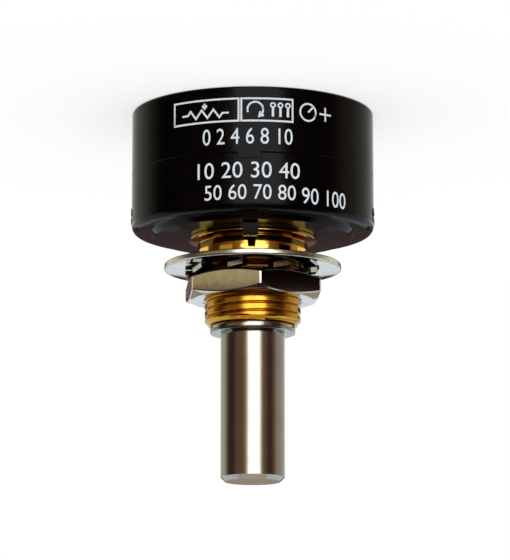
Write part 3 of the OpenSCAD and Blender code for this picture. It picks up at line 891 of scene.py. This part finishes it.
class POT_OT_print(bpy.types.Operator):
    """Print a plain scale and a few simple signs on the case"""

    bl_idname = "pot.print"
    bl_label = "Printed scale"

    def execute(self, context):
        sheet = InkSheet(context.scene.pot_print)
        low, top = in_metres(*SIGN_EDGES)
        middle = (low + top) / 2
        self.resistor(sheet, *in_metres(*RESISTOR), low, top)
        self.window(sheet, *in_metres(*WINDOW), low, top)
        self.knob(sheet, (KNOB[0] * MM, middle), KNOB[1] * MM)
        self.cross(sheet, (CROSS[0] * MM, middle), CROSS[1] * MM)
        for words, ends, edges in FIGURES:
            sheet.number(words, *in_metres(*ends, *edges))
        sheet.wrap(CASE_R)
        ink = print_ink(context.scene.pot_case)
        make_piece("printed_scale", sheet.bm, "case", ink)
        return {"FINISHED"}

    @staticmethod
    def resistor(sheet, left, right, low, high):
        """A frame round the sign for a resistor with its tap."""
        sheet.line([(left, low), (right, low), (right, high), (left, high)], closed=True)
        middle = (low + high) / 2 - 0.25 * MM
        start, end = left + 1.5 * MM, right - 1.5 * MM
        margin = 0.9 * MM
        rise = 0.38 * MM
        teeth = 6
        points = [(left + margin, middle), (start, middle)]
        for i in range(teeth):
            x = start + (end - start) * (i + 0.5) / teeth
            points.append((x, middle + (rise if i % 2 == 0 else -rise)))
        points += [(end, middle), (right - margin, middle)]
        sheet.line(points)
        # The tap and its arrow head
        x = (left + right) / 2
        sheet.line([(x, high - 0.3 * MM), (x, middle + 0.55 * MM)])
        barb = middle + 0.8 * MM
        sheet.line([(x - 0.22 * MM, barb), (x, middle + 0.5 * MM), (x + 0.22 * MM, barb)])

    @staticmethod
    def knob(sheet, centre, radius):
        """A ring with a pointer."""
        sheet.arc(centre, radius, 0, 360)
        sheet.line([centre, (centre[0] + radius * 0.6, centre[1] + radius * 0.6)])

    @staticmethod
    def cross(sheet, centre, reach):
        """An upright cross."""
        x, y = centre
        sheet.line([(x - reach, y), (x + reach, y)])
        sheet.line([(x, y - reach), (x, y + reach)])

    @staticmethod
    def window(sheet, left, right, low, high):
        """A frame with a turning arrow and three pins."""
        sheet.line([(left, low), (right, low), (right, high), (left, high)], closed=True)
        # The turning arrow and its head
        centre = (left + (right - left) * 0.27, (low + high) / 2)
        sheet.arc(centre, 0.72 * MM, -60, 200)
        x, y = centre[0] + 0.36 * MM, centre[1] - 0.62 * MM
        sheet.line([(x + 0.42 * MM, y + 0.1 * MM), (x, y), (x + 0.1 * MM, y + 0.45 * MM)])
        # The pins, each with a round head
        for i in range(3):
            x = right - (0.45 + 0.7 * i) * MM
            sheet.line([(x, low + 0.4 * MM), (x, high - 0.85 * MM)], width=0.22 * MM)
            sheet.arc((x, high - 0.6 * MM), 0.2 * MM, 0, 360, width=0.14 * MM)


def upright_card(name, path, low, high, tone):
    """Upright sheet along a path of (x, y) points, which only bright surfaces see."""
    made, _, shader = new_finish(name, (0, 0, 0), 1.0, Specular_IOR_Level=0.0)
    shader.inputs["Emission Color"].default_value = (*tone, 1)
    shader.inputs["Emission Strength"].default_value = 1.0
    bm = bmesh.new()
    foot = [bm.verts.new((x, y, low)) for x, y in path]
    head = [bm.verts.new((x, y, high)) for x, y in path]
    for i in range(len(path) - 1):
        bm.faces.new((foot[i], foot[i + 1], head[i + 1], head[i]))
    mesh = bpy.data.meshes.new(name)
    bm.to_mesh(mesh)
    bm.free()
    mesh.materials.append(made)
    card = bpy.data.objects.new(name, mesh)
    card.visible_camera = False
    card.visible_diffuse = False
    card.visible_transmission = False
    card.visible_volume_scatter = False
    card.visible_shadow = False
    bpy.context.collection.objects.link(card)


def white_floor(settings):
    """White floor that keeps the part's shadow and lets bright metal see the surroundings."""
    made, tree, shader = new_finish("white_floor", (1.0, 1.0, 1.0), 1.0, Specular_IOR_Level=0.0)
    speck = noise(tree, surface_place(tree), 40 * MM, 2.0)
    connect(tree, tones(tree, speck, (0.99, 0.99, 0.99), (1.0, 1.0, 1.0)), shader.inputs["Base Color"])
    white = node(tree, "Emission")
    clear = node(tree, "BsdfTransparent")
    path = node(tree, "LightPath")
    seen = node(tree, "Math", {1: settings.paper}, operation="MULTIPLY")
    connect(tree, path.outputs["Is Camera Ray"], seen.inputs[0])
    paper = node(tree, "MixShader")
    connect(tree, seen.outputs[0], paper.inputs["Fac"])
    connect(tree, shader.outputs["BSDF"], paper.inputs[1])
    connect(tree, white.outputs["Emission"], paper.inputs[2])
    mix = node(tree, "MixShader")
    connect(tree, path.outputs["Is Glossy Ray"], mix.inputs["Fac"])
    connect(tree, paper.outputs["Shader"], mix.inputs[1])
    connect(tree, clear.outputs["BSDF"], mix.inputs[2])
    connect(tree, mix.outputs["Shader"], tree.nodes["Material Output"].inputs["Surface"])
    return made


def blend_tones(tree, factor, first, second):
    """Mix two colours, each of them an output or plain values, by a factor."""
    made = node(tree, "Mix", data_type="RGBA")
    connect(tree, factor, made.inputs[0])
    for socket, tone in ((made.inputs[6], first), (made.inputs[7], second)):
        if isinstance(tone, bpy.types.NodeSocket):
            connect(tree, tone, socket)
        else:
            socket.default_value = (*tone, 1)
    return made.outputs[2]


def rising(tree, value, low, high):
    """Nothing below one value and all above another, with a soft step between."""
    made = node(tree, "MapRange", {"From Min": low, "From Max": high}, interpolation_type="SMOOTHSTEP")
    connect(tree, value, made.inputs["Value"])
    return made.outputs["Result"]


def surroundings(settings):
    """World that is white to the camera, even to dull surfaces, and a studio to bright ones."""
    world = bpy.data.worlds.new("studio_surroundings")
    world.use_nodes = True
    tree = world.node_tree
    background = tree.nodes["Background"]
    coordinate = node(tree, "TexCoord")
    turn = node(tree, "Mapping", {"Rotation": (0, 0, math.radians(90) + settings.swing)})
    connect(tree, coordinate.outputs["Generated"], turn.inputs["Vector"])
    round_it = node(tree, "TexGradient", gradient_type="RADIAL")
    connect(tree, turn.outputs["Vector"], round_it.inputs["Vector"])
    ramp = node(tree, "ValToRGB")
    elements = ramp.color_ramp.elements
    stops = sorted((0.5 - degrees / 360, tone) for degrees, tone in SURROUNDINGS)
    for element, (place, tone) in zip(elements, (stops[0], stops[-1])):
        element.position = place
        element.color = (*tone, 1)
    for place, tone in stops[1:-1]:
        elements.new(place).color = (*tone, 1)
    connect(tree, round_it.outputs["Fac"], ramp.inputs["Fac"])
    split = node(tree, "SeparateXYZ")
    connect(tree, turn.outputs["Vector"], split.inputs[0])
    # Steps from the back to the camera's side, from the sides to the top, and over the ramp
    sideways = rising(tree, split.outputs["X"], -0.15, 0.05)
    overhead = rising(tree, split.outputs["Z"], 0.86, 0.93)
    over_ramp = rising(tree, split.outputs["Z"], -0.02, 0.12)
    above = blend_tones(tree, sideways, settings.pale, settings.dark)
    dome = blend_tones(tree, overhead, above, settings.zenith)
    studio = blend_tones(tree, over_ramp, ramp.outputs["Color"], dome)
    path = node(tree, "LightPath")
    plain = (settings.plain, settings.plain, settings.plain)
    even = blend_tones(tree, path.outputs["Is Glossy Ray"], plain, studio)
    seen = blend_tones(tree, path.outputs["Is Camera Ray"], even, (1.0, 1.0, 1.0))
    connect(tree, seen, background.inputs["Color"])
    world.cycles.sampling_method = "NONE"
    return world


class POT_OT_studio(bpy.types.Operator):
    """Set up the floor, the light and the camera"""

    bl_idname = "pot.studio"
    bl_label = "Studio"

    def execute(self, context):
        settings = context.scene.pot_studio
        self.floor(settings)
        context.scene.world = surroundings(settings)
        self.sun(settings)
        self.cards(settings)
        self.camera(context.scene, settings)
        context.scene.view_settings.view_transform = "Standard"
        return {"FINISHED"}

    @staticmethod
    def floor(settings):
        """Round floor just under the rear face."""
        bm = bmesh.new()
        bmesh.ops.create_circle(bm, cap_ends=True, segments=FLOOR_STEPS, radius=settings.floor_r)
        mesh = bpy.data.meshes.new("studio_floor")
        bm.to_mesh(mesh)
        bm.free()
        mesh.materials.append(white_floor(settings))
        floor = bpy.data.objects.new("studio_floor", mesh)
        floor.location.z = -settings.floor_gap
        bpy.context.collection.objects.link(floor)

    @staticmethod
    def sun(settings):
        """One broad soft light from above the camera, for dull surfaces and the floor."""
        light = bpy.data.lights.new("soft_sun", "SUN")
        light.angle = settings.sun_angle
        light.energy = settings.sun
        lamp = bpy.data.objects.new("soft_sun", light)
        lamp.location = settings.sun_place
        lamp.rotation_euler = (-lamp.location).to_track_quat("-Z", "Y").to_euler()
        lamp.visible_glossy = False
        bpy.context.collection.objects.link(lamp)

    @staticmethod
    def cards(settings):
        """Cards round the part for its metal, and grey ones behind it, painted shade that the boss
        mirrors.
        """
        for name, (angles, heights, tone) in CARDS.items():
            path = []
            first, last = angles
            for i in range(CARD_STEPS + 1):
                right = 90 + first + (last - first) * i / CARD_STEPS
                at = -math.radians(right) - settings.swing
                path.append((settings.card_r * math.cos(at), settings.card_r * math.sin(at)))
            upright_card(name, path, *in_metres(*heights), tone)
        # Painted shade: dark grey sheets behind the part, which only bright surfaces see
        for side, name in ((-1, "grey_right_"), (1, "grey_left_")):
            path = [(side * x, settings.back_y) for x in (settings.back_in, settings.back_out)]
            for level, (heights, tone) in BACK_CARDS.items():
                upright_card(name + level, path, *in_metres(*heights), tone)

    @staticmethod
    def camera(scene, settings):
        """Camera at the picture's angle, rolled so that the shaft points down."""
        lens = bpy.data.cameras.new("picture_camera")
        lens.lens = settings.lens
        lens.sensor_width = 36
        lens.clip_start = 10 * MM
        lens.clip_end = 10
        camera = bpy.data.objects.new("picture_camera", lens)
        rise, swing = settings.rise, settings.swing
        level = math.cos(rise)
        away = Vector((-math.sin(swing) * level, -math.cos(swing) * level, math.sin(rise)))
        target = Vector(settings.aim)
        place = target + away * settings.distance
        look = (target - place).to_track_quat("-Z", "Y").to_matrix()
        turn = look @ Matrix.Rotation(settings.roll, 3, "Z")
        camera.matrix_world = Matrix.Translation(place) @ turn.to_4x4()
        bpy.context.collection.objects.link(camera)
        scene.camera = camera


class POT_PT_panel(bpy.types.Panel):
    """Sizes, colours and makers of the potentiometer"""

    bl_idname = "POT_PT_panel"
    bl_label = "Potentiometer"
    bl_space_type = "VIEW_3D"
    bl_region_type = "UI"
    bl_category = "Potentiometer"

    def draw(self, context):
        for operator in OPERATORS:
            self.layout.operator(operator.bl_idname)
        for name, group in GROUPS.items():
            box = self.layout.box()
            box.label(text=group.__doc__)
            settings = getattr(context.scene, name)
            for key in group.__annotations__:
                box.prop(settings, key)


GROUPS = {
    "pot_bushing": BushingSizes,
    "pot_washer": WasherSizes,
    "pot_edges": EdgeSizes,
    "pot_print": PrintSizes,
    "pot_case": CaseFinish,
    "pot_metal": MetalFinish,
    "pot_inside": InsideFinish,
    "pot_studio": StudioSettings,
}
OPERATORS = (
    POT_OT_studio,
    POT_OT_case,
    POT_OT_print,
    POT_OT_bushing,
    POT_OT_shaft,
    POT_OT_hardware,
    POT_OT_terminals,
    POT_OT_element,
)


def register():
    """Register the groups, the operators and the panel."""
    for group in GROUPS.values():
        bpy.utils.register_class(group)
    for name, group in GROUPS.items():
        setattr(bpy.types.Scene, name, PointerProperty(type=group))
    for operator in OPERATORS:
        bpy.utils.register_class(operator)
    bpy.utils.register_class(POT_PT_panel)


def unregister():
    """Take everything off again, in reverse."""
    bpy.utils.unregister_class(POT_PT_panel)
    for operator in reversed(OPERATORS):
        bpy.utils.unregister_class(operator)
    for name in GROUPS:
        delattr(bpy.types.Scene, name)
    for group in reversed(list(GROUPS.values())):
        bpy.utils.unregister_class(group)


def main():
    """Make the part and its studio."""
    register()
    bpy.ops.pot.studio()
    bpy.ops.pot.case()
    bpy.ops.pot.print()
    bpy.ops.pot.bushing()
    bpy.ops.pot.shaft()
    bpy.ops.pot.hardware()
    bpy.ops.pot.terminals()
    bpy.ops.pot.element()


if __name__ == "__main__":
    main()
